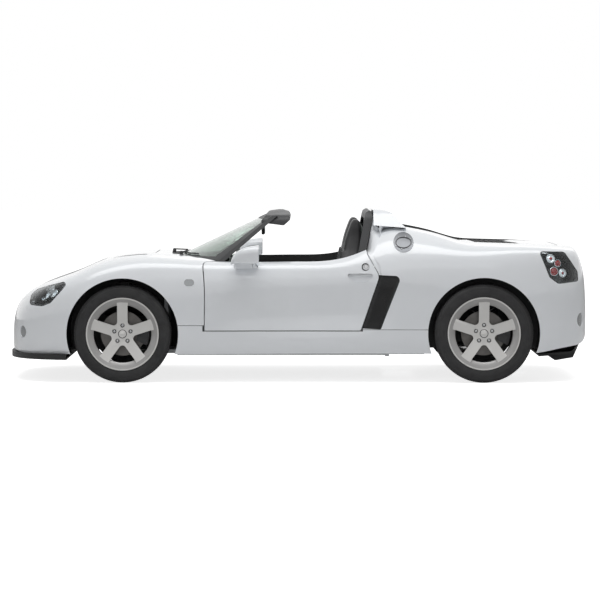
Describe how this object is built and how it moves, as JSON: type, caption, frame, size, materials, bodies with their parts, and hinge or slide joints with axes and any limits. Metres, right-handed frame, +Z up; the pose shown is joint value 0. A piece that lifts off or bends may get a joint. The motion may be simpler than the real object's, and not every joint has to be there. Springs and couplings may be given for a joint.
{
  "type": "roadster convertible",
  "caption": "Mid-engined two-seat roadster with fixed roll hoop, opening doors and lids, steered front wheels and spoked alloy wheels.",
  "frame": {"origin": "on the ground, under the middle of the overall length and width", "axes": "+X towards the tail, +Y towards the car's right side, +Z up"},
  "size_m": [3.792, 1.9736, 1.1148],
  "materials": {
    "paint": "gloss",
    "satin_grey": "satin",
    "glass": "clear",
    "lamp_cover": "clear",
    "headlamp": "gloss",
    "tail_lamp": "gloss",
    "black_plastic": "matte",
    "tyre": "matte",
    "wheel": "satin",
    "brake_iron": "turned",
    "knuckle_steel": "cast",
    "suspension": "satin",
    "tub": "satin",
    "frame_steel": "satin",
    "seat": "grained",
    "trim": "grained",
    "grip": "satin",
    "engine": "cast",
    "exhaust": "polished"
  },
  "bodies": {
    "body": {"arch_liners": "black_plastic", "bonnet_vents": "black_plastic", "centre_console": "trim", "dashboard": "trim", "engine_block": "engine", "exhaust": "exhaust", "front_bay": "black_plastic", "front_clam": "paint", "front_grille": "black_plastic", "front_splitter": "black_plastic", "fuel_cap": "wheel", "headlamp_covers": "lamp_cover", "headlamps": "headlamp", "rear_clam": "paint", "rear_diffuser": "black_plastic", "rear_frame": "frame_steel", "rear_knuckles": "knuckle_steel", "rear_window": "glass", "roll_hoop": "satin_grey", "roll_hoop_cover": "paint", "seats": "seat", "side_intakes": "black_plastic", "sill_panels": "paint", "small_lamps": "lamp_cover", "spring_dampers": "suspension", "tail_lamp_covers": "lamp_cover", "tail_lamps": "tail_lamp", "tub": "tub", "windscreen": "glass", "windscreen_frame": "satin_grey", "wishbones": "suspension"},
    "door_left": {"door_left": "paint", "mirror_left": "paint"},
    "door_right": {"door_right": "paint", "mirror_right": "paint"},
    "engine_lid": {"engine_lid": "paint", "engine_vent": "black_plastic"},
    "front_wheel_left": {"front_disc_left": "brake_iron", "front_tyre_left": "tyre", "front_wheel_left": "wheel"},
    "front_wheel_right": {"front_disc_right": "brake_iron", "front_tyre_right": "tyre", "front_wheel_right": "wheel"},
    "knuckle_left": {"front_knuckle_left": "knuckle_steel"},
    "knuckle_right": {"front_knuckle_right": "knuckle_steel"},
    "front_lid": {"front_lid": "paint"},
    "rear_wheel_left": {"rear_disc_left": "brake_iron", "rear_tyre_left": "tyre", "rear_wheel_left": "wheel"},
    "rear_wheel_right": {"rear_disc_right": "brake_iron", "rear_tyre_right": "tyre", "rear_wheel_right": "wheel"},
    "steering_wheel": {"steering_wheel": "grip"}
  },
  "joints": [
    {"name": "steer_left", "type": "hinge", "parent": "body", "child": "knuckle_left", "pos_m": [-1.137, -0.661, 0.316], "axis": [0.066, 0.1, 0.9928], "range_deg": [-30, 30]},
    {"name": "spin_front_left", "type": "hinge", "parent": "knuckle_left", "child": "front_wheel_left", "pos_m": [-1.137, -0.725, 0.316], "axis": [0, 1, 0], "continuous": true},
    {"name": "spin_rear_left", "type": "hinge", "parent": "body", "child": "rear_wheel_left", "pos_m": [1.193, -0.735, 0.32], "axis": [0, 1, 0], "continuous": true},
    {"name": "door_left_hinge", "type": "hinge", "parent": "body", "child": "door_left", "pos_m": [-0.54, -0.77, 0.4], "axis": [0, 0, -1], "range_deg": [0, 65]},
    {"name": "steer_right", "type": "hinge", "parent": "body", "child": "knuckle_right", "pos_m": [-1.137, 0.661, 0.316], "axis": [0.066, -0.1, 0.9928], "range_deg": [-30, 30]},
    {"name": "spin_front_right", "type": "hinge", "parent": "knuckle_right", "child": "front_wheel_right", "pos_m": [-1.137, 0.725, 0.316], "axis": [0, 1, 0], "continuous": true},
    {"name": "spin_rear_right", "type": "hinge", "parent": "body", "child": "rear_wheel_right", "pos_m": [1.193, 0.735, 0.32], "axis": [0, 1, 0], "continuous": true},
    {"name": "door_right_hinge", "type": "hinge", "parent": "body", "child": "door_right", "pos_m": [-0.54, 0.77, 0.4], "axis": [0, 0, 1], "range_deg": [0, 65]},
    {"name": "steering_column", "type": "hinge", "parent": "body", "child": "steering_wheel", "pos_m": [-0.325, -0.325, 0.69], "axis": [0.8988, 0, 0.4384], "range_deg": [-420, 420]},
    {"name": "engine_lid_hinge", "type": "hinge", "parent": "body", "child": "engine_lid", "pos_m": [0.76, 0, 0.903], "axis": [0, -1, 0], "range_deg": [0, 60]},
    {"name": "front_lid_hinge", "type": "hinge", "parent": "body", "child": "front_lid", "pos_m": [-1.41, 0, 0.754], "axis": [0, -1, 0], "range_deg": [0, 55]}
  ],
  "couplings": [
    {"joint": "steer_right", "follows": "steer_left", "ratio": 1},
    {"joint": "steering_column", "follows": "steer_left", "ratio": 14}
  ]
}
